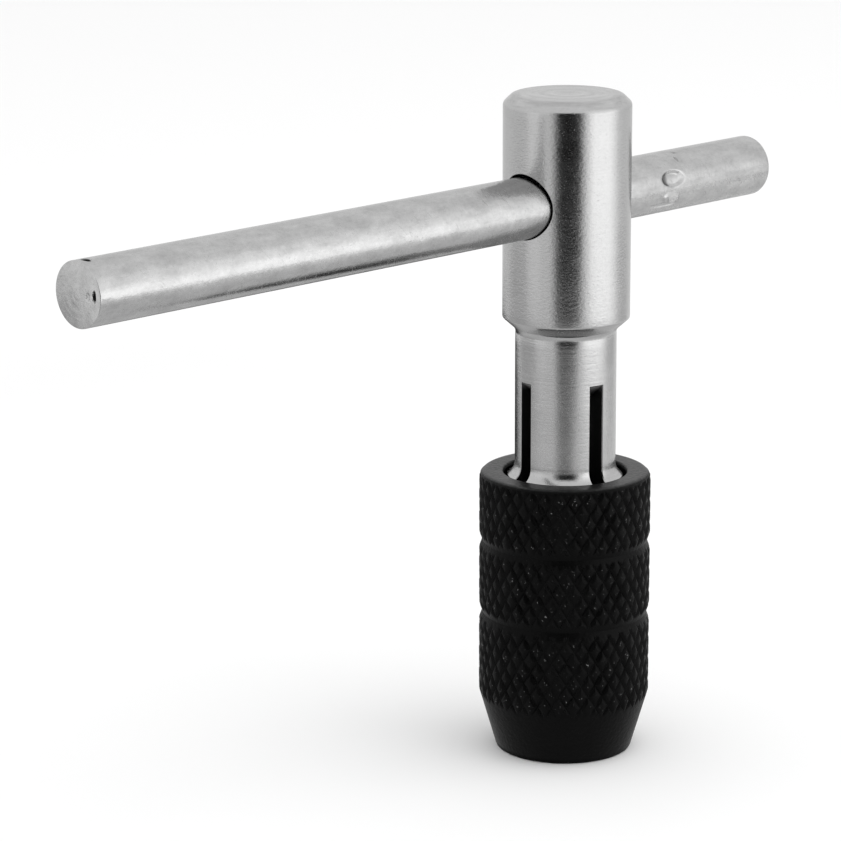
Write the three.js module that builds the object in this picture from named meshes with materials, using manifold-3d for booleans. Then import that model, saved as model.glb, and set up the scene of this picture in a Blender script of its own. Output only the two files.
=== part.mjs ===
// T-handle tap wrench with a sliding bar and a four-jaw spring chuck.
//
// A turned steel spindle carries the cross bar in its head. Below the neck it is bored and sawn
// crosswise, so that it ends in four spring jaws. A knurled sleeve is screwed over the jaws, and the
// cone inside its mouth presses them together on the square of a tap.
//
// Frame: millimetres, +Z up along the spindle, +X along the bar, origin on the spindle's axis in the
// plane of the sleeve's mouth.

import * as THREE from "three";
import { mergeVertices } from "three/addons/utils/BufferGeometryUtils.js";
import Module from "manifold-3d";

const wasm = await Module();
wasm.setup();

// Driving dimensions
const HEIGHT = 69.6;
const SLIT = 0.3; // gap left between a jaw and the spindle that it is sawn from
const TURN = Math.PI * 2;

const HEAD = { radius: 6.6, bottom: 46.45, chamfer: 0.95, chamferHeight: 0.9 };
const NECK = { radius: 5.25, top: 45.35, fillet: 0.35 };
const CROSS_HOLE = { radius: 3.375, height: 58.7 };
const BORE = { radius: 3.2, top: 43.0, drillTip: 44.8 };

const SLOT = { width: 1.6, root: 40.0, turn: THREE.MathUtils.degToRad(-9) };
const JAW = {
  count: 4,
  tip: 2.6,
  threadRadius: 6.0,
  threadTop: 29.6,
  flareRadius: 2.0,
  gripFlat: 2.9, // half of the square socket's width across its flats
  gripTop: 15.0,
  tipBore: 2.4, // pilot bore, smaller than the square that is cut out of it
  tipChamfer: 0.4,
};

const SLEEVE = {
  radius: 8.95,
  height: 30.0,
  rimBevel: 0.45,
  boreRadius: 6.4,
  boreBevel: 0.35,
  coneTop: 6.3,
  baseRadius: 7.1,
  baseBevel: 0.3,
  mouthRadius: 4.2,
  mouthLand: 1.0,
  coneAngle: THREE.MathUtils.degToRad(20),
  grooveHeights: [22.55, 14.75],
  grooveDepth: 0.34,
  grooveHalfWidth: 0.95,
};

const BAR = {
  radius: 3.175,
  height: 58.59,
  left: -64.8,
  right: 28.5,
  endChamfer: 0.2,
};

// Staked ears on the bar: `along` is the ear's middle on the bar, `length` runs the same way.
const EAR = { top: 3.55, foot: 2.9, width: 1.3 };
const STAKES = [
  { along: 12.8, length: 1.6, angles: [19, 199] },
  { along: -63.5, length: 1.4, angles: [-9, 171] },
];

// Sides of each round surface
const SIDES = { spindle: 72, jaw: 72, sleeve: 72, bar: 40, hole: 48 };

// Geometry helpers

// A closed geometry becomes a solid that can be joined and cut.
function solid(geometry) {
  const bare = geometry.clone();
  bare.deleteAttribute("normal");
  bare.deleteAttribute("uv");
  const merged = mergeVertices(bare, 1e-4);
  const mesh = new wasm.Mesh({
    numProp: 3,
    vertProperties: merged.attributes.position.array,
    triVerts: new Uint32Array(merged.index.array),
  });
  return new wasm.Manifold(mesh);
}

function geometryOf(body) {
  const mesh = body.getMesh();
  const geometry = new THREE.BufferGeometry();
  const positions = new Float32Array(mesh.vertProperties);
  geometry.setAttribute("position", new THREE.BufferAttribute(positions, 3));
  geometry.setIndex(new THREE.BufferAttribute(new Uint32Array(mesh.triVerts), 1));
  geometry.computeVertexNormals();
  return geometry;
}

// Turns a profile, drawn as radius and height, round the Z axis.
function turned(path, sides) {
  const geometry = new THREE.LatheGeometry(path.getPoints(8), sides);
  geometry.rotateX(Math.PI / 2);
  return solid(geometry);
}

// A block with its middle at the given place, turned round Z afterwards.
function block(size, middle, angle) {
  const geometry = new THREE.BoxGeometry(...size);
  geometry.translate(...middle);
  geometry.rotateZ(angle);
  return solid(geometry);
}

function node(name, body, look) {
  const mesh = new THREE.Mesh(geometryOf(body), new THREE.MeshStandardMaterial(look));
  mesh.name = name;
  return mesh;
}

const PLATED_STEEL = { color: 0xb9babb, roughness: 0.3, metalness: 1.0 };
const BLACK_OXIDE = { color: 0x17171a, roughness: 0.55, metalness: 0.4 };

// Spindle: head, shoulder and neck, down to the root of the saw slots
function spindleProfile() {
  const foot = SLOT.root + SLIT / 2;
  const path = new THREE.Path();
  path.moveTo(0, BORE.drillTip);
  path.lineTo(BORE.radius, BORE.top);
  path.lineTo(BORE.radius, foot);
  path.lineTo(NECK.radius, foot);
  path.lineTo(NECK.radius, NECK.top - NECK.fillet);
  path.quadraticCurveTo(NECK.radius, NECK.top, NECK.radius + NECK.fillet / 2, NECK.top);
  path.lineTo(HEAD.radius, HEAD.bottom);
  path.lineTo(HEAD.radius, HEIGHT - HEAD.chamferHeight);
  path.lineTo(HEAD.radius - HEAD.chamfer, HEIGHT);
  path.lineTo(0, HEIGHT);
  return path;
}

function makeSpindle() {
  const hole = new THREE.CylinderGeometry(
    CROSS_HOLE.radius,
    CROSS_HOLE.radius,
    4 * HEAD.radius,
    SIDES.hole,
  );
  hole.rotateZ(Math.PI / 2);
  hole.translate(0, 0, CROSS_HOLE.height);
  return turned(spindleProfile(), SIDES.spindle).subtract(solid(hole));
}

// Jaws: one turned tube, flared to the thread and coned at its tip, which the saw slots split
function jawTubeProfile() {
  const top = SLOT.root - SLIT / 2;
  const gap = SLIT / Math.cos(SLEEVE.coneAngle);
  const slope = Math.tan(SLEEVE.coneAngle);
  const coneRadiusAt = (z) => SLEEVE.mouthRadius - gap + (z - SLEEVE.mouthLand) * slope;
  const coneTop = SLEEVE.mouthLand + (JAW.threadRadius - SLEEVE.mouthRadius + gap) / slope;
  const rise = JAW.threadRadius - NECK.radius;
  const flareAngle = Math.acos(1 - rise / JAW.flareRadius);
  const flareTop = JAW.threadTop + JAW.flareRadius * Math.sin(flareAngle);

  const path = new THREE.Path();
  path.moveTo(JAW.tipBore, JAW.tip);
  path.lineTo(coneRadiusAt(JAW.tip) - JAW.tipChamfer, JAW.tip);
  path.lineTo(coneRadiusAt(JAW.tip + JAW.tipChamfer), JAW.tip + JAW.tipChamfer);
  path.lineTo(JAW.threadRadius, coneTop);
  path.lineTo(JAW.threadRadius, JAW.threadTop);
  path.absarc(
    NECK.radius + JAW.flareRadius,
    flareTop,
    JAW.flareRadius,
    Math.PI + flareAngle,
    Math.PI,
    true,
  );
  path.lineTo(NECK.radius, top);
  path.lineTo(BORE.radius, top);
  path.lineTo(BORE.radius, JAW.gripTop);
  path.lineTo(JAW.tipBore, JAW.gripTop);
  path.lineTo(JAW.tipBore, JAW.tip);
  return path;
}

function makeJaws() {
  const reach = 2 * SLEEVE.radius;
  const middle = SLOT.root / 2;
  const between = TURN / JAW.count;
  const firstJaw = SLOT.turn + between / 2;
  const flats = 2 * JAW.gripFlat;
  const socket = block([flats, flats, 2 * JAW.gripTop], [0, 0, 0], firstJaw);
  const saw = block([reach, SLOT.width, SLOT.root], [0, 0, middle], SLOT.turn);
  const crossSaw = block([reach, SLOT.width, SLOT.root], [0, 0, middle], SLOT.turn + between);
  const tube = turned(jawTubeProfile(), SIDES.jaw).subtract(socket).subtract(saw).subtract(crossSaw);
  return Array.from({ length: JAW.count }, (_, i) => {
    const angle = SLOT.turn + i * between;
    return tube.intersect(block([reach, reach, SLOT.root], [reach / 2, reach / 2, middle], angle));
  });
}

// Sleeve: cylinder with two grooves and a coned nose, open from rim to mouth
function sleeveProfile() {
  const slope = Math.tan(SLEEVE.coneAngle);
  const innerConeTop = SLEEVE.mouthLand + (SLEEVE.boreRadius - SLEEVE.mouthRadius) / slope;
  const path = new THREE.Path();
  path.moveTo(SLEEVE.mouthRadius, 0);
  path.lineTo(SLEEVE.baseRadius - SLEEVE.baseBevel, 0);
  path.lineTo(SLEEVE.baseRadius, SLEEVE.baseBevel);
  path.lineTo(SLEEVE.radius, SLEEVE.coneTop);
  for (const z of [...SLEEVE.grooveHeights].reverse()) {
    path.lineTo(SLEEVE.radius, z - SLEEVE.grooveHalfWidth);
    path.lineTo(SLEEVE.radius - SLEEVE.grooveDepth, z);
    path.lineTo(SLEEVE.radius, z + SLEEVE.grooveHalfWidth);
  }
  path.lineTo(SLEEVE.radius, SLEEVE.height - SLEEVE.rimBevel);
  path.lineTo(SLEEVE.radius - SLEEVE.rimBevel, SLEEVE.height);
  path.lineTo(SLEEVE.boreRadius + SLEEVE.boreBevel, SLEEVE.height);
  path.lineTo(SLEEVE.boreRadius, SLEEVE.height - SLEEVE.boreBevel);
  path.lineTo(SLEEVE.boreRadius, innerConeTop);
  path.lineTo(SLEEVE.mouthRadius, SLEEVE.mouthLand);
  path.lineTo(SLEEVE.mouthRadius, 0);
  return path;
}

// Bar: plain rod along X with chamfered ends and its staked ears
function makeBar() {
  const profile = new THREE.Path();
  profile.moveTo(0, BAR.left);
  profile.lineTo(BAR.radius - BAR.endChamfer, BAR.left);
  profile.lineTo(BAR.radius, BAR.left + BAR.endChamfer);
  profile.lineTo(BAR.radius, BAR.right - BAR.endChamfer);
  profile.lineTo(BAR.radius - BAR.endChamfer, BAR.right);
  profile.lineTo(0, BAR.right);
  const rod = new THREE.LatheGeometry(profile.getPoints(), SIDES.bar);
  rod.rotateZ(-Math.PI / 2);
  return STAKES.flatMap(earsOf).reduce((body, ear) => body.add(ear), solid(rod));
}

// An ear's angle is measured round the bar from +Y towards +Z.
function earsOf({ along, length, angles }) {
  return angles.map((degrees) => {
    const ear = new THREE.BoxGeometry(length, EAR.top - EAR.foot, EAR.width);
    ear.translate(along, (EAR.top + EAR.foot) / 2, 0);
    ear.rotateX(THREE.MathUtils.degToRad(degrees));
    return solid(ear);
  });
}

// Assembly
const wrench = new THREE.Group();
wrench.add(node("spindle", makeSpindle(), PLATED_STEEL));
makeJaws().forEach((jaw, i) => wrench.add(node("jaw_" + (i + 1), jaw, PLATED_STEEL)));
wrench.add(node("chuck_sleeve", turned(sleeveProfile(), SIDES.sleeve), BLACK_OXIDE));

const bar = node("t_bar", makeBar(), PLATED_STEEL);
bar.position.z = BAR.height;
wrench.add(bar);

export default wrench;
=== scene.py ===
"""Looks of a tap wrench with a sliding bar and a four-jaw spring chuck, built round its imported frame.

Sizes are in millimetres until a mesh is made, and MM turns them into the frame's metres. Angles round
the spindle are azimuths from +X towards +Y, and angles round the bar go from +Y towards +Z.
"""

import math

import bmesh
import bpy
import numpy as np
from mathutils import Matrix, Vector


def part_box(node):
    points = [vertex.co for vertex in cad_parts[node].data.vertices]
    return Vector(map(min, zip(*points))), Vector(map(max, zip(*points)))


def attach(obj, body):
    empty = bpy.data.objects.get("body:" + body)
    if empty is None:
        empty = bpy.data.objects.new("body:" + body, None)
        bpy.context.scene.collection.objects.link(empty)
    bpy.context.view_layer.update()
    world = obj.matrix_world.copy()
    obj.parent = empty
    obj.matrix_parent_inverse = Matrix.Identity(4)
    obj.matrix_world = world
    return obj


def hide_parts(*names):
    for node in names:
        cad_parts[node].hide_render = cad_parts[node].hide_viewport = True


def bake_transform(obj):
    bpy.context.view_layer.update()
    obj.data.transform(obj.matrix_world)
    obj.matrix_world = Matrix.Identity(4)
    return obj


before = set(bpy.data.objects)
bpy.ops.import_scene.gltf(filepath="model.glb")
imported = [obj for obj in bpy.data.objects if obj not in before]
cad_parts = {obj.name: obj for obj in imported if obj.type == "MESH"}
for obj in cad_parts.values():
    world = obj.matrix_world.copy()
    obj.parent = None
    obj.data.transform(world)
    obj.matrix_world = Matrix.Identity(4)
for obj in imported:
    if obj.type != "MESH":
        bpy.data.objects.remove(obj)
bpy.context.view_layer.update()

MM = 0.001
TURN = 2 * math.pi


def span(node):
    """Lowest and highest corner of a node's box."""
    low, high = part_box(node)
    return low / MM, high / MM


spindle_high = span("spindle")[1]
sleeve_high = span("chuck_sleeve")[1]
bar_low, bar_high = span("t_bar")
jaw_low = span("jaw_1")[0]

# Driving sizes, taken from the frame where a node's box gives them
HEAD_RADIUS = spindle_high.x
HEAD_TOP = spindle_high.z
HEAD_BOTTOM = 46.45
HEAD_CHAMFER = (0.95, 0.9)  # radial and axial
NECK_RADIUS = 5.25
NECK_TOP = 45.22
NECK_RELIEF = (0.02, 44.8, 44.62)  # how deep the relief under the head is, and where it runs out
HOLE_RADIUS = 3.375
HOLE_HEIGHT = 58.7
HOLE_EDGE = 0.04
BORE_RADIUS = 3.2
BORE_TOP = 43.0
DRILL_TIP = 44.8
ROOT_SEAM = 41.5  # where the turned spindle hands over to its four fingers

SLOT_WIDTH = 1.6
SLOT_TOP = 40.0
SLOT_RUN_OUT = 1.7  # how far the saw's curve drops from the neck's surface to the bore
SLOT_TURN = math.radians(-9)
FINGERS = 4
FINGER_EDGE = 0.09
TIP = jaw_low.z
THREAD_RADIUS = 6.0
THREAD_TOP = 29.6
THREAD_PITCH = 1.0
THREAD_DEPTH = 0.5
FLARE_RADIUS = 1.6
GRIP_FLAT = 2.9
GRIP_TOP = 15.0
CONE_SLOPE = math.tan(math.radians(20))

SLEEVE_RADIUS = sleeve_high.x
SLEEVE_TOP = sleeve_high.z
SLEEVE_RIM_ROUNDING = 0.72
SLEEVE_BORE = 6.4
SLEEVE_BORE_BEVEL = 0.16
SLEEVE_THREAD_BOTTOM = 16.0
SLEEVE_THREAD_DEPTH = 0.2
SLEEVE_BASE = 7.1
SLEEVE_CONE_TOP = 6.3
MOUTH_RADIUS = 4.2
MOUTH_LAND = 1.0
KNURL_TEETH = 36
KNURL_ANGLE = math.radians(32.5)
KNURL_DEPTH = 0.25
KNURL_TOP = 29.9
KNURL_BOTTOM = 5.2
GROOVES = (22.55, 14.78)
GROOVE_DEPTH = 0.34
GROOVE_HALF_WIDTH = 0.95

BAR_RADIUS = 3.175
BAR_LEFT = bar_low.x
BAR_RIGHT = bar_high.x
BAR_HEIGHT = (bar_low.z + bar_high.z) / 2
LEFT_ROUNDING = 0.06
RIGHT_ROUNDING = 0.5
END_DOME = 0.14  # how far the near end's face swells

# What the staking punch left on the bar's side, each with its place along the bar and its angle in
# degrees, then half its length and half its width: the raised ears with their height, and the sunk
# bowls and nicks with their depth
EARS = [
    (12.75, 199, 1.15, 0.64, 0.34),
    (12.75, 19, 1.15, 0.64, 0.34),
    (-63.9, 171, 0.8, 0.6, 0.02),
    (-63.9, -9, 0.8, 0.6, 0.02),
]
EAR_STOP = 12.15  # nearer the middle than this the ears are flat enough to slide into the cross hole
BOWL_ALONG = 12.95
MARKS = [
    (BOWL_ALONG, 163, 1.5, 0.78, 0.32),
    (BOWL_ALONG, -17, 1.5, 0.78, 0.32),
    (12.0, 215, 1.9, 0.28, 0.12),
    (12.0, 35, 1.9, 0.28, 0.12),
    (14.8, 124, 0.2, 0.4, 0.12),
    (15.5, 104, 0.3, 0.25, 0.14),
    (-63.75, 89, 0.42, 0.7, 0.34),
]
END_PITS = [  # across, up, half width, half height and depth, on the near end's face
    (-2.37, 0.13, 0.18, 0.5, 0.6),
    (-1.5, 0.0, 0.2, 0.35, 0.1),
]

# How fine the meshes are: points round a ring, or millimetres between rings
SPINDLE_COLUMNS = 240
HOLE_COLUMNS = 96
FINGER_FRONT, FINGER_WALL, FINGER_BACK = 46, 8, 20
KNURL_STEPS = 12  # mesh columns in one tooth
BAR_COLUMNS = 280
BAR_FINE = 0.08
BAR_COARSE = 0.9
STAKE_REACH = 3.2  # how far from an ear's middle the bar's mesh stays fine

# The photograph's view
VIEW_AZIMUTH = math.radians(-44.571)
VIEW_ELEVATION = math.radians(14.174)
VIEW_ROLL = math.radians(-0.155)
VIEW_DISTANCE = 383.79
VIEW_TARGET = Vector((-10.73, 10.57, 35.3))
LENS = 157.94


# ---------------------------------------------------------------- camera


def make_camera():
    camera = bpy.data.objects.new("camera", bpy.data.cameras.new("camera"))
    bpy.context.scene.collection.objects.link(camera)
    camera.data.lens = LENS
    camera.data.sensor_width = 36.0
    camera.data.clip_start = 0.01
    camera.data.clip_end = 20.0
    flat = math.cos(VIEW_ELEVATION)
    back = Vector((
        math.sin(VIEW_AZIMUTH) * flat,
        -math.cos(VIEW_AZIMUTH) * flat,
        math.sin(VIEW_ELEVATION),
    ))
    level = Vector((math.cos(VIEW_AZIMUTH), math.sin(VIEW_AZIMUTH), 0.0))
    upright = back.cross(level)
    right = level * math.cos(VIEW_ROLL) + upright * math.sin(VIEW_ROLL)
    up = upright * math.cos(VIEW_ROLL) - level * math.sin(VIEW_ROLL)
    turn = Matrix((right, up, back)).transposed().to_4x4()
    camera.matrix_world = Matrix.Translation((VIEW_TARGET + back * VIEW_DISTANCE) * MM) @ turn
    bpy.context.scene.camera = camera


make_camera()


# ---------------------------------------------------------------- mesh helpers


def mesh_piece(name, points, faces, sharp=30):
    """A piece whose faces point out, smooth except along edges that turn by more than sharp degrees."""
    mesh = bpy.data.meshes.new(name)
    mesh.from_pydata((np.asarray(points, float) * MM).tolist(), [], faces)
    work = bmesh.new()
    work.from_mesh(mesh)
    bmesh.ops.recalc_face_normals(work, faces=work.faces)
    work.to_mesh(mesh)
    work.free()
    smooth(mesh, sharp)
    piece = bpy.data.objects.new(name, mesh)
    bpy.context.scene.collection.objects.link(piece)
    return piece


def smooth(mesh, sharp=30):
    """Shading that is smooth except along edges that turn by more than sharp degrees."""
    mesh.shade_smooth()
    mesh.set_sharp_from_angle(angle=math.radians(sharp))


def loft(rings, ends):
    """Points and faces through closed rings. ends is "joined" for the last ring to meet the first,
    "points" for a middle point at each end, or "flat" for a face at each end."""
    rings = np.asarray(rings, float)
    count, columns = rings.shape[:2]
    points = rings.reshape(-1, 3)
    here = np.arange(columns)
    there = np.roll(here, -1)
    faces = []
    for i in range(count if ends == "joined" else count - 1):
        a, b = i * columns, (i + 1) % count * columns
        faces += np.stack([a + here, a + there, b + there, b + here], 1).tolist()
    last = (count - 1) * columns
    if ends == "flat":
        faces += [here[::-1].tolist(), (last + here).tolist()]
    if ends == "points":
        points = np.vstack([points, rings[0].mean(0), rings[-1].mean(0)])
        pole = count * columns
        faces += [[pole, t, h] for h, t in zip(here.tolist(), there.tolist())]
        faces += [[pole + 1, last + h, last + t] for h, t in zip(here.tolist(), there.tolist())]
    return points, faces


def creased(points, faces):
    """Every quad split along its more level diagonal, counted from the Z axis, so that cuts stay straight."""
    points = np.asarray(points)
    radius = np.hypot(points[:, 0], points[:, 1])
    split = []
    for a, b, c, d in faces:
        if abs(radius[a] - radius[c]) <= abs(radius[b] - radius[d]):
            split += [(a, b, c), (a, c, d)]
        else:
            split += [(a, b, d), (b, c, d)]
    return points, split


def rounded(corners, steps=5):
    """An outline through corners of (radius, height, rounding), with a short curve at each rounding."""
    outline = []
    for i, (x, y, rounding) in enumerate(corners):
        here = np.array((x, y), float)
        if not rounding or i in (0, len(corners) - 1):
            outline.append(here)
            continue
        before = np.array(corners[i - 1][:2], float) - here
        after = np.array(corners[i + 1][:2], float) - here
        start = here + before / np.linalg.norm(before) * rounding
        end = here + after / np.linalg.norm(after) * rounding
        for t in np.linspace(0, 1, steps):
            outline.append((1 - t) ** 2 * start + 2 * t * (1 - t) * here + t * t * end)
    return outline


def divided(outline, longest):
    """The outline with its long stretches cut into equal steps."""
    result = [outline[0]]
    for before, after in zip(outline, outline[1:]):
        steps = max(1, math.ceil(np.linalg.norm(after - before) / longest))
        result += [before + (after - before) * k / steps for k in range(1, steps + 1)]
    return result


def turned_rings(outline, columns):
    """Rings round Z through an outline of (radius, height)."""
    angle = np.arange(columns) * TURN / columns
    radius, height = np.array(outline).T
    return np.stack([
        np.outer(radius, np.cos(angle)),
        np.outer(radius, np.sin(angle)),
        np.repeat(height[:, None], columns, 1),
    ], -1)


def smooth_step(x):
    x = np.clip(x, 0, 1)
    return x * x * (3 - 2 * x)


def thread_cut(turns, depth):
    """How deep a thread is cut, where turns counts its pitches: flat-topped V grooves."""
    away = np.abs(2 * (turns % 1) - 1)
    return depth * np.clip(1.35 * away - 0.2, 0, 1)


# ---------------------------------------------------------------- spindle


def spindle_outline():
    """From the head's middle down to the seam, up the bore and to the drill's tip."""
    chamfer, chamfer_height = HEAD_CHAMFER
    relief, relief_low, relief_end = NECK_RELIEF
    return rounded([
        (0.05, HEAD_TOP, 0),
        (HEAD_RADIUS - chamfer, HEAD_TOP, 0.28),
        (HEAD_RADIUS, HEAD_TOP - chamfer_height, 0.3),
        (HEAD_RADIUS, HEAD_BOTTOM, 0.15),
        (NECK_RADIUS - relief, NECK_TOP, 0.38),
        (NECK_RADIUS - relief, relief_low, 0),
        (NECK_RADIUS, relief_end, 0),
        (NECK_RADIUS, ROOT_SEAM, 0),
        (BORE_RADIUS, ROOT_SEAM, 0),
        (BORE_RADIUS, BORE_TOP, 0),
        (0.05, DRILL_TIP, 0),
    ])


def cross_hole_rings():
    """A cutter along X that follows the head's round face and opens a little there, to break the edge."""
    angle = np.arange(HOLE_COLUMNS) * TURN / HOLE_COLUMNS
    exit_x = np.sqrt(HEAD_RADIUS**2 - (HOLE_RADIUS * np.cos(angle)) ** 2)
    beyond = 0.3
    steps = [
        (exit_x * 0 + HEAD_RADIUS + 2 * beyond, HOLE_RADIUS + HOLE_EDGE + beyond),
        (exit_x + beyond, HOLE_RADIUS + HOLE_EDGE + beyond),
        (exit_x - HOLE_EDGE, HOLE_RADIUS),
    ]
    steps += [(-x, radius) for x, radius in reversed(steps)]
    return [
        np.stack([x, radius * np.cos(angle), HOLE_HEIGHT + radius * np.sin(angle)], -1)
        for x, radius in steps
    ]


def make_spindle():
    outline = divided(spindle_outline(), 0.9)
    body = mesh_piece("spindle_body", *loft(turned_rings(outline, SPINDLE_COLUMNS), "points"))
    cutter = mesh_piece("cross_hole", *loft(cross_hole_rings(), "flat"))
    cut = body.modifiers.new("cross_hole", "BOOLEAN")
    cut.operation = "DIFFERENCE"
    cut.solver = "EXACT"
    cut.object = cutter
    bpy.context.view_layer.update()
    finished = bpy.data.meshes.new_from_object(body.evaluated_get(bpy.context.evaluated_depsgraph_get()))
    body.modifiers.clear()
    body.data = finished
    work = bmesh.new()
    work.from_mesh(finished)
    bmesh.ops.remove_doubles(work, verts=work.verts, dist=0.0001 * MM)
    work.to_mesh(finished)
    work.free()
    bpy.data.objects.remove(cutter)
    smooth(finished)
    return body


# ---------------------------------------------------------------- fingers


def wall_point(radius, offset):
    """Where a slot's wall meets that radius: x along the finger's middle line and y across it. The wall
    runs at 45 degrees, and offset is how far along y the slot has moved it."""
    x = (offset + math.sqrt(2 * radius * radius - offset * offset)) / 2
    return np.array((x, x - offset))


def arc_between(a, b, count):
    """Points from a to b on their circle round the origin."""
    radius = np.linalg.norm(a)
    angle = np.linspace(math.atan2(a[1], a[0]), math.atan2(b[1], b[0]), count)
    return np.stack([radius * np.cos(angle), radius * np.sin(angle)], 1)


def finger_ring(height, outer, slotted=True, gripping=False, run_out=0.0, thread=0.0):
    """One section of a finger about its own middle line. It drops by run_out from the neck's surface to
    the bore, it has a thread of that depth outside, and a gripping one has the socket's flat inside."""
    mirror = np.array((1, -1))
    offset = SLOT_WIDTH / math.sqrt(2) if slotted else 0.0
    corner = wall_point(outer, offset)
    edge = FINGER_EDGE / outer if slotted else 0.0
    corner_angle = math.atan2(corner[1], corner[0]) - edge
    corner = outer * np.array((math.cos(corner_angle), math.sin(corner_angle)))
    front = arc_between(corner * mirror, corner, FINGER_FRONT)
    cut = thread_cut(height / THREAD_PITCH - np.arctan2(front[:, 1], front[:, 0]) / TURN, thread)
    front *= (1 - cut / outer)[:, None]

    foot = np.array((GRIP_FLAT, GRIP_FLAT - offset)) if gripping else wall_point(BORE_RADIUS, offset)
    share = np.linspace(0, 1, FINGER_WALL)[:, None]
    walls = []
    for side_cut, side in ((cut[-1], 1), (cut[0], mirror)):
        top = wall_point(outer - FINGER_EDGE - side_cut, offset)
        walls.append((top + (foot - top) * share) * side)
    back_line = np.linspace if gripping else arc_between
    back = back_line(foot, foot * mirror, FINGER_BACK)
    loop = np.vstack([front, walls[0][:-1], back, walls[1][::-1][1:]])
    depth = (NECK_RADIUS - np.linalg.norm(loop, axis=1)) / (NECK_RADIUS - BORE_RADIUS)
    return np.column_stack([loop, height - run_out * np.clip(depth, 0, 1)])


def finger_rings():
    """Sections of one finger from the seam in the neck to its tip."""
    rings = []
    run_out_fade = 4.0
    for share in np.linspace(0, 1, 4):
        height = ROOT_SEAM + (SLOT_TOP - ROOT_SEAM) * share
        rings.append(finger_ring(height, NECK_RADIUS, slotted=False, run_out=SLOT_RUN_OUT * share))

    flare_angle = math.acos(1 - (THREAD_RADIUS - NECK_RADIUS) / FLARE_RADIUS)
    flare_top = THREAD_TOP + FLARE_RADIUS * math.sin(flare_angle)
    for height in np.linspace(SLOT_TOP, flare_top + 0.2, 17):
        run_out = SLOT_RUN_OUT * max(0.0, 1 - (SLOT_TOP - height) / run_out_fade)
        rings.append(finger_ring(height, NECK_RADIUS, run_out=run_out))
    for angle in np.linspace(0, flare_angle, 9):
        outer = NECK_RADIUS + FLARE_RADIUS * (1 - math.cos(angle))
        rings.append(finger_ring(flare_top - FLARE_RADIUS * math.sin(angle), outer))

    clearance = 0.32

    def cone_radius(height):
        return MOUTH_RADIUS - clearance + (height - MOUTH_LAND) * CONE_SLOPE

    cone_top = MOUTH_LAND + (THREAD_RADIUS - MOUTH_RADIUS + clearance) / CONE_SLOPE
    thread_fade = 1.2
    for height in np.arange(THREAD_TOP - 0.15, cone_top, -THREAD_PITCH / 7):
        fade = smooth_step((THREAD_TOP - height) / thread_fade)
        fade *= smooth_step((height - cone_top) / thread_fade)
        rings.append(
            finger_ring(height, THREAD_RADIUS, gripping=height < GRIP_TOP, thread=THREAD_DEPTH * fade)
        )
    bevel = 0.4
    for height, inset in ((cone_top - 0.05, 0), (TIP + bevel, 0), (TIP, bevel)):
        rings.append(finger_ring(height, cone_radius(height) - inset, gripping=True))
    return np.array(rings)


def make_finger(number):
    """Finger 1 stands half a step round from the first slot."""
    middle = SLOT_TURN + (number - 0.5) * TURN / FINGERS
    rings = finger_rings()
    x, y = rings[..., 0].copy(), rings[..., 1].copy()
    rings[..., 0] = x * math.cos(middle) - y * math.sin(middle)
    rings[..., 1] = x * math.sin(middle) + y * math.cos(middle)
    return mesh_piece(f"finger_{number}", *loft(rings, "flat"))


# ---------------------------------------------------------------- sleeve


def sleeve_outside(height):
    """The sleeve's turned radius at a height, before the knurl is rolled."""
    cone = SLEEVE_BASE + (SLEEVE_RADIUS - SLEEVE_BASE) * height / SLEEVE_CONE_TOP
    cuts = [GROOVE_DEPTH * max(0.0, 1 - abs(height - groove) / GROOVE_HALF_WIDTH) for groove in GROOVES]
    past = max(0.0, height - SLEEVE_TOP + SLEEVE_RIM_ROUNDING)
    lip = SLEEVE_RIM_ROUNDING - math.sqrt(max(0.0, SLEEVE_RIM_ROUNDING**2 - past**2))
    return min(cone, SLEEVE_RADIUS - max(cuts) - lip)


def knurl_cut(row, height, columns, pitch):
    """How deep the crossed grooves are along one row of the mesh. Rows and columns are spaced so that
    every groove runs along the mesh's own diagonals."""
    column = np.arange(columns)
    half_width = 0.27 * pitch
    across = pitch * math.cos(KNURL_ANGLE) / KNURL_STEPS
    cut = np.zeros(columns)
    for steps in ((column + row) % KNURL_STEPS, (column - row) % KNURL_STEPS):
        away = np.minimum(steps, KNURL_STEPS - steps) * across
        cut = np.maximum(cut, KNURL_DEPTH * np.clip(1 - away / half_width, 0, 1) ** 1.2)
    ends = smooth_step((KNURL_TOP - height) / 0.35) * smooth_step((height - KNURL_BOTTOM) / 0.4)
    grooves = np.prod([smooth_step((abs(height - groove) - 0.15) / 0.4) for groove in GROOVES])
    angle = column * TURN / columns
    uneven = 0.85 + 0.25 * np.sin(5 * angle + 0.9 * height) * np.sin(11 * angle - 0.6 * height)
    return cut * ends * grooves * uneven


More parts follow.
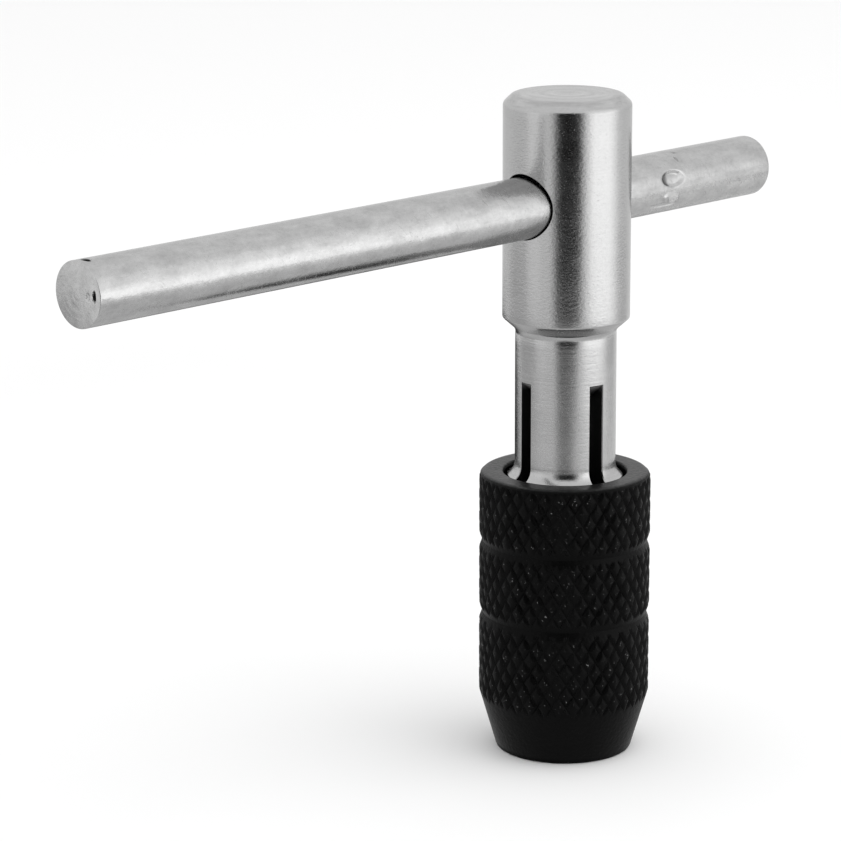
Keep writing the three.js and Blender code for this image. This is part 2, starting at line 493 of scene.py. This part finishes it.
def make_sleeve():
    columns = KNURL_TEETH * KNURL_STEPS
    angle = np.arange(columns) * TURN / columns
    pitch = TURN * SLEEVE_RADIUS / KNURL_TEETH
    row_height = pitch / math.tan(KNURL_ANGLE) / KNURL_STEPS

    def ring(radius, height):
        return np.stack([radius * np.cos(angle), radius * np.sin(angle), np.full(columns, height)], -1)

    rings = [
        ring(radius, height)
        for radius, height in rounded([
            (SLEEVE_BORE, SLEEVE_TOP - 0.9, 0),
            (SLEEVE_BORE, SLEEVE_TOP - 0.35, 0.08),
            (SLEEVE_BORE + SLEEVE_BORE_BEVEL, SLEEVE_TOP, 0.1),
            (sleeve_outside(SLEEVE_TOP), SLEEVE_TOP, 0),
        ])
    ]
    knurl_start = math.acos(1 - (SLEEVE_TOP - KNURL_TOP) / SLEEVE_RIM_ROUNDING)
    for turn in np.linspace(0, knurl_start, 7)[1:]:
        height = SLEEVE_TOP - SLEEVE_RIM_ROUNDING * (1 - math.cos(turn))
        rings.append(ring(sleeve_outside(height), height))
    first = math.floor((KNURL_TOP - GROOVES[0]) / row_height)
    last = math.ceil((KNURL_BOTTOM - GROOVES[0]) / row_height)
    for row in range(first, last - 1, -1):
        height = GROOVES[0] + row * row_height
        knurled = SLEEVE_RADIUS - knurl_cut(row, height, columns, pitch)
        rings.append(ring(np.minimum(knurled, sleeve_outside(height)), height))
    rings += [ring(sleeve_outside(z), z) for z in np.linspace(KNURL_BOTTOM - 0.2, 0.6, 8)]
    inner_cone_top = MOUTH_LAND + (SLEEVE_BORE - MOUTH_RADIUS) / CONE_SLOPE
    rings += [
        ring(radius, height)
        for radius, height in rounded([
            (sleeve_outside(0.5), 0.5, 0),
            (sleeve_outside(0), 0.0, 0.3),
            (MOUTH_RADIUS, 0.0, 0.15),
            (MOUTH_RADIUS, MOUTH_LAND, 0.1),
            (SLEEVE_BORE, inner_cone_top, 0.2),
            (SLEEVE_BORE, SLEEVE_THREAD_BOTTOM, 0),
        ], 4)
    ]
    step = THREAD_PITCH / 6
    thread_end = SLEEVE_TOP - 1.2
    for height in np.arange(SLEEVE_THREAD_BOTTOM + step, thread_end, step):
        fade = smooth_step(height - SLEEVE_THREAD_BOTTOM) * smooth_step((thread_end - height) / 1.2)
        crest = thread_cut(height / THREAD_PITCH - angle / TURN, SLEEVE_THREAD_DEPTH)
        rings.append(ring(SLEEVE_BORE - fade * crest, height))
    return mesh_piece("knurled_sleeve", *creased(*loft(rings, "joined")), sharp=24)


# ---------------------------------------------------------------- bar


def spot(distance, edge):
    """1 inside distance 1, falling smoothly to 0 within edge of it."""
    return smooth_step((1 + edge / 2 - distance) / edge)


def bar_relief(x, angle):
    """How far the bar's side stands out at each angle of one ring, from the ears and the punch marks."""

    def offsets(along, degrees, half_length, half_width):
        turn = (angle - math.radians(degrees) + math.pi) % TURN - math.pi
        return (x - along) / half_length, turn * BAR_RADIUS / half_width

    relief = np.zeros(angle.shape)
    for *place, height in EARS:
        lengthwise, across = offsets(*place)
        rising = 0.5 + 0.5 * np.clip(across, -1, 1)
        relief += height * rising * spot(np.hypot(lengthwise, across), 0.5)
    relief = np.minimum(relief, HOLE_RADIUS - BAR_RADIUS - 0.08 + 1.5 * max(0.0, x - EAR_STOP))
    for *place, depth in MARKS:
        relief -= depth * spot(np.hypot(*offsets(*place)), 0.6)
    return relief


def near_face(radius, angle):
    """How far the near end's face is behind its middle: a slight dome, rings left by facing, and pits."""
    y, z = radius * np.cos(angle), radius * np.sin(angle)
    wander = radius + 0.12 * np.cos(angle - 0.7)
    rings = np.cos(TURN * wander / 0.62 + 1.5 * np.sin(2.3 * radius)) * (0.5 + 0.5 * np.cos(angle + 0.6))
    sunk = END_DOME * (radius / BAR_RADIUS) ** 2 + 0.004 * (1 + rings * smooth_step((2.6 - radius) / 0.3))
    for across, up, half_width, half_height, depth in END_PITS:
        sunk += depth * spot(np.hypot((y - across) / half_width, (z - up) / half_height), 0.5)
    return sunk


def bar_stations():
    """Places along the bar's side where the mesh has a ring, close together at the stakes."""
    start, end = BAR_LEFT + END_DOME + LEFT_ROUNDING, BAR_RIGHT - RIGHT_ROUNDING
    stations = []
    x = start
    while x < end:
        stations.append(x)
        x += BAR_FINE if any(abs(x - along) < STAKE_REACH for along, *_ in EARS) else BAR_COARSE
    return [start + 0.02] + stations[1:]


def make_bar():
    angle = np.arange(BAR_COLUMNS) * TURN / BAR_COLUMNS
    corner = np.radians(np.arange(0, 91, 15))

    def ring(x, radius):
        flat = np.broadcast_to(x, angle.shape)
        return np.stack([flat, radius * np.cos(angle), BAR_HEIGHT + radius * np.sin(angle)], -1)

    def rounding(end, size, inward):
        return [
            ring(
                end + inward * size * (1 - math.cos(turn)),
                BAR_RADIUS - size * (1 - math.sin(turn)),
            )
            for turn in corner
        ]

    def face(size):
        """Radii of a face's rings, out to an edge rounded by size."""
        edge = BAR_RADIUS - size - 0.02
        return np.append(np.arange(BAR_FINE, edge - 0.01, BAR_FINE), edge)

    rings = [ring(BAR_LEFT + near_face(radius, angle), radius) for radius in face(LEFT_ROUNDING)]
    rings += rounding(BAR_LEFT + END_DOME, LEFT_ROUNDING, 1)
    rings += [ring(x, BAR_RADIUS + bar_relief(x, angle)) for x in bar_stations()]
    rings += rounding(BAR_RIGHT, RIGHT_ROUNDING, -1)[::-1]
    rings += [ring(BAR_RIGHT, radius) for radius in face(RIGHT_ROUNDING)[::-1]]
    return mesh_piece("cross_bar", *loft(rings, "points"), sharp=40)


# ---------------------------------------------------------------- materials


class Shader:
    """A material whose nodes are made by short calls that return their output."""

    def __init__(self, name):
        self.material = bpy.data.materials.new(name)
        self.material.use_nodes = True
        self.tree = self.material.node_tree
        self.tree.nodes.clear()
        place = self.node("TexCoord").outputs["Object"]
        self.place = self.vector("SCALE", place, Scale=1 / MM)
        parts = self.node("SeparateXYZ", Vector=self.place)
        self.x, self.y, self.z = parts.outputs
        self.radius = self.apart(self.x, self.y)

    def node(self, kind, settings=(), **inputs):
        node = self.tree.nodes.new("ShaderNode" + kind)
        for key, value in dict(settings).items():
            setattr(node, key, value)
        for key, value in inputs.items():
            socket = node.inputs[key.replace("_", " ")]
            if isinstance(value, bpy.types.NodeSocket):
                self.tree.links.new(value, socket)
            else:
                socket.default_value = value
        return node

    def math(self, operation, *values):
        node = self.node("Math", {"operation": operation})
        for socket, value in zip(node.inputs, values):
            if isinstance(value, bpy.types.NodeSocket):
                self.tree.links.new(value, socket)
            else:
                socket.default_value = value
        return node.outputs[0]

    def apart(self, across, along):
        """How far two points are apart whose coordinates differ by across and along."""
        squares = [self.math("POWER", value, 2.0) for value in (across, along)]
        return self.math("SQRT", self.math("ADD", *squares))

    def vector(self, operation, a, **inputs):
        node = self.node("VectorMath", {"operation": operation}, **inputs)
        self.tree.links.new(a, node.inputs[0])
        return node.outputs[0]

    def join(self, x, y, z):
        return self.node("CombineXYZ", X=x, Y=y, Z=z).outputs[0]

    def noise(self, place, scale=1.0, detail=2.0, roughness=0.5):
        made = self.node("TexNoise", Vector=place, Scale=scale, Detail=detail, Roughness=roughness)
        return made.outputs["Fac"]

    def ramp(self, value, low, high, start=0.0, end=1.0):
        """value from low..high turned smoothly into start..end."""
        settings = {"interpolation_type": "SMOOTHSTEP"}
        made = self.node("MapRange", settings, Value=value, To_Min=start, To_Max=end)
        made.inputs["From Min"].default_value = low
        made.inputs["From Max"].default_value = high
        return made.outputs["Result"]

    def mix(self, share, a, b):
        return self.math("ADD", a, self.math("MULTIPLY", share, self.math("SUBTRACT", b, a)))

    def weigh(self, *terms):
        """Sum of value times weight."""
        total = None
        for value, weight in terms:
            part = self.math("MULTIPLY", value, weight)
            total = part if total is None else self.math("ADD", total, part)
        return total

    def grey(self, value):
        return self.node("CombineColor", Red=value, Green=value, Blue=value).outputs[0]

    def bump(self, height):
        """A normal from a height in micrometres."""
        return self.node("Bump", Height=height, Distance=1e-6, Strength=1.0).outputs[0]

    def finish(self, **inputs):
        surface = self.node("BsdfPrincipled", **inputs)
        self.node("OutputMaterial", Surface=surface.outputs[0])
        return self.material


STEEL_GREY = 0.43
STEEL_EDGE = 0.82
RECESS_SHADE_GREY = 0.06  # painted shade: the near-black grey of the slots and bore, where shade falls; the punch marks get their own painted shade on the bar


def turned_steel():
    """Bright plated steel, turned: an orange-peel skin on the head, fine rings on the neck and faces, and
    painted shade darkening the slots and bore.
    """
    s = Shader("turned_plated_steel")
    drift = s.weigh((s.x, 0.05), (s.y, 0.04))
    ring_place = s.join(s.radius, s.z, drift)
    rings = s.noise(ring_place, 5.0, 3.0, 0.6)
    coarse_rings = s.noise(ring_place, 1.6, 1.0)
    skin_place = s.join(s.x, s.y, s.math("MULTIPLY", s.z, 1.7))
    skin = s.noise(skin_place, 2.6, 3.0, 0.6)
    patches = s.noise(s.place, 0.35, 3.0, 0.6)
    specks = s.ramp(s.noise(skin_place, 5.5, 1.0), 0.66, 0.76)
    facing = s.noise(s.join(s.radius, s.math("MULTIPLY", drift, 5.0), 0.0), 0.9, 4.0, 0.65)

    top = s.ramp(s.z, HEAD_TOP - 0.9, HEAD_TOP - 0.6)
    outside_neck = s.ramp(s.radius, NECK_RADIUS + 0.8, NECK_RADIUS + 1.2)
    head = s.math("MULTIPLY", outside_neck, s.math("SUBTRACT", 1.0, top))
    height = s.weigh(
        (rings, s.mix(head, 9.0, 2.5)),
        (coarse_rings, s.mix(head, 6.0, 2.0)),
        (skin, s.mix(head, 10.0, 19.0)),
        (facing, s.mix(top, 0.0, 25.0)),
        (specks, s.mix(head, 2.0, 3.0)),
    )
    below_head = s.math("LESS_THAN", s.z, HEAD_BOTTOM - 1.5)
    cut = s.math("MULTIPLY", s.ramp(s.radius, NECK_RADIUS - 0.05, NECK_RADIUS - 0.2), below_head)
    # painted shade: from just below the slots' tops down, the slot walls and the bore inside the fingers are
    # painted near black, where shade falls
    painted_recess_shade = s.math("MULTIPLY", cut, s.ramp(s.z, SLOT_TOP + 0.1, SLOT_TOP - 1.1))
    roughness = s.math("ADD", s.weigh((patches, 0.12), (rings, 0.06), (specks, 0.08), (cut, 0.35)), 0.12)
    tone = s.weigh(
        (patches, 0.08), (rings, 0.06), (skin, 0.06), (specks, -0.06), (facing, s.mix(top, 0.0, 0.5))
    )
    tone = s.math("ADD", tone, s.mix(top, STEEL_GREY - 0.09, STEEL_GREY - 0.36))
    return s.finish(
        Base_Color=s.grey(s.mix(painted_recess_shade, tone, RECESS_SHADE_GREY)),
        Metallic=1.0,
        Roughness=s.mix(painted_recess_shade, roughness, 0.5),
        Specular_Tint=(STEEL_EDGE, STEEL_EDGE, STEEL_EDGE, 1),
        Normal=s.bump(height),
    )


def drawn_steel():
    """The bar's bright drawn steel: long faint streaks, scuffs across them, a cloudy plating, painted shade
    in the punch marks, and a near-black floor in the near end's deep pit.
    """
    s = Shader("drawn_plated_steel")
    along = s.math("MULTIPLY", s.x, 0.06)
    streak_place = s.join(along, s.y, s.z)
    streaks = s.noise(streak_place, 4.0, 3.0, 0.6)
    skin = s.noise(s.place, 2.0, 4.0, 0.65)
    cloud_place = s.join(s.math("MULTIPLY", s.x, 0.5), s.y, s.z)
    clouds = s.noise(cloud_place, 0.7, 4.0, 0.65)
    lean = s.math("ADD", s.x, s.math("MULTIPLY", s.z, 0.7))
    half_y, half_z = s.math("MULTIPLY", s.y, 0.5), s.math("MULTIPLY", s.z, 0.5)
    scuff_place = s.join(s.math("MULTIPLY", lean, 3.0), half_y, half_z)
    scuffs = s.ramp(s.noise(scuff_place, 1.3, 2.0), 0.62, 0.72)
    specks = s.ramp(s.noise(s.place, 5.0, 1.0), 0.66, 0.76)

    from_axis = s.apart(s.y, s.math("SUBTRACT", s.z, BAR_HEIGHT))
    # the floor of the deep pit in the near end's face is painted nearly black and made rough
    near_end = s.math("LESS_THAN", s.x, BAR_LEFT + 3)
    deep_pit_floor = s.math("MULTIPLY", s.ramp(s.x, BAR_LEFT + 0.2, BAR_LEFT + 0.32), near_end)
    deep_pit_floor = s.math("MULTIPLY", deep_pit_floor, s.ramp(from_axis, BAR_RADIUS - 0.16, BAR_RADIUS - 0.05, 1.0, 0.0))
    raised = s.ramp(from_axis, BAR_RADIUS + 0.03, BAR_RADIUS + 0.1)
    pressed = s.math("MAXIMUM", s.ramp(from_axis, BAR_RADIUS - 0.03, BAR_RADIUS - 0.1), raised)
    pressed = s.math("MULTIPLY", pressed, s.math("GREATER_THAN", s.x, 0.0))
    # painted shade: the sunk hollows on the bar's upper half left of the bowls' middles, and more faintly the
    # nicks past the bowls, are painted darker towards 0.16, where shade falls in them
    before_bowl = s.ramp(s.x, BOWL_ALONG - 0.5, BOWL_ALONG - 1.0)
    past_bowl = s.ramp(s.x, BOWL_ALONG + 0.8, BOWL_ALONG + 1.1)
    nicks = s.math("MULTIPLY", past_bowl, s.ramp(s.z, BAR_HEIGHT + 0.8, BAR_HEIGHT + 1.1, 0.0, 0.45))
    punch_mark_shade = s.math("MULTIPLY", pressed, s.math("MAXIMUM", before_bowl, nicks))
    punch_mark_shade = s.math("MULTIPLY", punch_mark_shade, s.ramp(from_axis, BAR_RADIUS, BAR_RADIUS - 0.1))
    punch_mark_shade = s.math("MULTIPLY", punch_mark_shade, s.math("GREATER_THAN", s.z, BAR_HEIGHT))
    sawn = s.ramp(s.x, BAR_RIGHT - 0.06, BAR_RIGHT - 0.02)
    height = s.weigh((streaks, 4.0), (skin, s.mix(pressed, 20.0, 5.0)), (scuffs, -3.0), (specks, 3.0))
    roughness = s.weigh((clouds, 0.16), (scuffs, 0.10), (specks, 0.08), (pressed, -0.1), (sawn, 0.25))
    roughness = s.math("ADD", roughness, 0.14)
    tone = s.weigh((clouds, 0.30), (skin, 0.14), (streaks, 0.05), (scuffs, -0.03), (specks, -0.05))
    tone = s.mix(punch_mark_shade, s.math("ADD", tone, STEEL_GREY - 0.23), 0.16)
    return s.finish(
        Base_Color=s.grey(s.mix(deep_pit_floor, tone, 0.02)),
        Metallic=1.0,
        Roughness=s.mix(deep_pit_floor, roughness, 0.7),
        Specular_Tint=(STEEL_EDGE, STEEL_EDGE, STEEL_EDGE, 1),
        Normal=s.bump(height),
    )


def black_oxide():
    """Black oxide over knurled steel: a dull grain, turning rings on the nose, a few worn bright tips."""
    s = Shader("black_oxide")
    grain = s.noise(s.place, 9.0, 3.0, 0.65)
    clouds = s.noise(s.place, 0.5, 3.0, 0.6)
    rings = s.noise(s.join(s.radius, s.z, s.math("MULTIPLY", s.x, 0.05)), 4.0, 2.0)
    tips = s.ramp(s.radius, SLEEVE_RADIUS - 0.06, SLEEVE_RADIUS - 0.005)
    top_edge = s.ramp(s.z, KNURL_TOP - 1.6, KNURL_TOP - 0.2)
    rubbed = s.weigh((s.noise(s.place, 3.2, 3.0, 0.7), 1.0), (top_edge, 0.035))
    wear = s.math("MULTIPLY", tips, s.ramp(rubbed, 0.62, 0.74))

    rim = s.ramp(s.z, SLEEVE_TOP - 0.2, SLEEVE_TOP - 0.05)
    rolled = s.noise(s.place, 2.6, 2.0)
    gloss = s.math("MULTIPLY", rim, s.ramp(s.noise(s.place, 2.2, 4.0, 0.7), 0.32, 0.62, 0.45, 1.0))
    height = s.weigh((grain, 10.0), (rolled, 50.0), (rings, 2.5))
    roughness = s.math("ADD", s.weigh((clouds, 0.12), (grain, 0.1), (wear, -0.1)), 0.3)
    oxide = s.math("ADD", s.weigh((clouds, 0.0016), (tips, 0.001), (rim, 0.002)), 0.0002)
    return s.finish(
        Base_Color=s.grey(s.mix(wear, oxide, 0.24)),
        Metallic=s.ramp(wear, 0.0, 1.0, 0.0, 0.9),
        Roughness=roughness,
        Specular_IOR_Level=s.mix(gloss, 0.062, 0.35),
        Normal=s.bump(height),
    )


def paint(piece, material):
    piece.data.materials.clear()
    piece.data.materials.append(material)


# ---------------------------------------------------------------- the wrench


def make_wrench():
    turned, drawn, oxide = turned_steel(), drawn_steel(), black_oxide()

    spindle = make_spindle()
    paint(spindle, turned)
    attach(spindle, "spindle")
    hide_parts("spindle")

    for number in range(1, FINGERS + 1):
        finger = make_finger(number)
        paint(finger, turned)
        jaw = f"jaw_{number}"
        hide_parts(jaw)
        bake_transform(finger)

    sleeve = make_sleeve()
    paint(sleeve, oxide)
    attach(sleeve, "chuck_sleeve")
    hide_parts("chuck_sleeve")

    bar = make_bar()
    paint(bar, drawn)
    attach(bar, "t_bar")
    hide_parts("t_bar")


# ---------------------------------------------------------------- floor and light


def make_floor():
    sides, radius = 128, 3000
    turn = np.arange(sides) * TURN / sides
    points = np.stack([radius * np.cos(turn), radius * np.sin(turn), turn * 0], -1)
    floor = mesh_piece("floor", points, [list(range(sides))])
    s = Shader("pale_floor")
    floor.data.materials.append(s.finish(Base_Color=(0.86, 0.86, 0.86, 1), Roughness=0.9))


def glow_only_seen_in_reflections(piece, shader, glow, share):
    """The piece shines by glow where share is 1 and is clear where it is 0, and only gloss shows it."""
    light = shader.node("Emission", Color=(glow, glow, glow, 1)).outputs[0]
    clear = shader.node("BsdfTransparent").outputs[0]
    mixed = shader.node("MixShader", Fac=share)
    shader.tree.links.new(clear, mixed.inputs[1])
    shader.tree.links.new(light, mixed.inputs[2])
    shader.node("OutputMaterial", Surface=mixed.outputs[0])
    piece.data.materials.append(shader.material)
    piece.visible_camera = False
    piece.visible_diffuse = False
    piece.visible_shadow = False


def toward(azimuth):
    """Level direction that many degrees to the right of the camera, as seen from the spindle's axis."""
    angle = VIEW_AZIMUTH - math.pi / 2 + math.radians(azimuth)
    return Vector((math.cos(angle), math.sin(angle), 0.0))


def card(name, azimuth, distance, width, bottom, top, glow, fades):
    """An upright card facing the spindle, with the lengths over which its left, right, foot and top fade."""
    left_fade, right_fade, foot_fade, top_fade = fades
    middle = toward(azimuth) * distance
    across = toward(azimuth + 90) * width / 2
    corners = [(-1, bottom), (1, bottom), (1, top), (-1, top)]
    points = [middle + across * side + Vector((0, 0, height)) for side, height in corners]
    panel = mesh_piece(name, points, [[0, 1, 2, 3]])
    layer = panel.data.uv_layers.new(name="place")
    for loop, (side, height) in zip(layer.data, corners):
        loop.uv = ((side + 1) / 2 * width, height)
    s = Shader(name)
    sideways, upward, _ = s.node("SeparateXYZ", Vector=s.node("TexCoord").outputs["UV"]).outputs
    share = s.math("MULTIPLY", s.ramp(sideways, 0.0, left_fade), s.ramp(sideways, width, width - right_fade))
    share = s.math("MULTIPLY", share, s.ramp(upward, bottom, bottom + foot_fade))
    share = s.math("MULTIPLY", share, s.ramp(upward, top, top - top_fade))
    glow_only_seen_in_reflections(panel, s, glow, share)


def floor_shade(name, height, centre, radius, glow):
    """A darker round patch on the floor that only gloss shows, for the steel's undersides."""
    sides = 96
    turn = np.arange(sides) * TURN / sides
    x, y = centre
    points = np.stack([x + radius * np.cos(turn), y + radius * np.sin(turn), turn * 0 + height], -1)
    patch = mesh_piece(name, points, [list(range(sides))])
    s = Shader(name)
    away = s.apart(s.math("SUBTRACT", s.x, x), s.math("SUBTRACT", s.y, y))
    glow_only_seen_in_reflections(patch, s, glow, s.ramp(away, radius, 0.35 * radius))


def make_light():
    world = bpy.data.worlds.new("studio")
    bpy.context.scene.world = world
    world.use_nodes = True
    background = world.node_tree.nodes["Background"]
    background.inputs["Color"].default_value = (1, 1, 1, 1)
    background.inputs["Strength"].default_value = 1.05
    bpy.context.scene.view_settings.view_transform = "Standard"

    lamp = bpy.data.lights.new("overhead", "AREA")
    lamp.size = 0.5
    lamp.energy = 1.2
    overhead = bpy.data.objects.new("overhead", lamp)
    overhead.location = (0.15, -0.25, 0.6)
    overhead.rotation_euler = (-overhead.location).to_track_quat("-Z", "Y").to_euler()
    overhead.visible_camera = False
    overhead.visible_glossy = False
    bpy.context.scene.collection.objects.link(overhead)

    card("dark_card", azimuth=-1, distance=120, width=142, bottom=0, top=150, glow=0.0,
         fades=(40, 27, 28, 50))
    card("bright_card", azimuth=67.3, distance=150, width=222, bottom=1, top=118, glow=1.97,
         fades=(50, 92, 10, 60))
    card("sky_card", azimuth=65, distance=200, width=320, bottom=70, top=390, glow=1.5,
         fades=(80, 80, 10, 300))
    card("side_card", azimuth=-62, distance=150, width=90, bottom=0, top=120, glow=1.15,
         fades=(22, 22, 30, 30))
    floor_shade("near_shade", height=0.5, centre=(-58, 15), radius=220, glow=0.78)
    floor_shade("left_shade", height=0.7, centre=(-130, 160), radius=150, glow=0.58)
    floor_shade("right_shade", height=0.9, centre=(212, -57), radius=100, glow=0.78)
    floor_shade("front_shade", height=1.3, centre=(-88, -79), radius=54, glow=0.25)
    floor_shade("far_shade", height=1.1, centre=(66, 126), radius=103, glow=0.03)


make_wrench()
make_floor()
make_light()
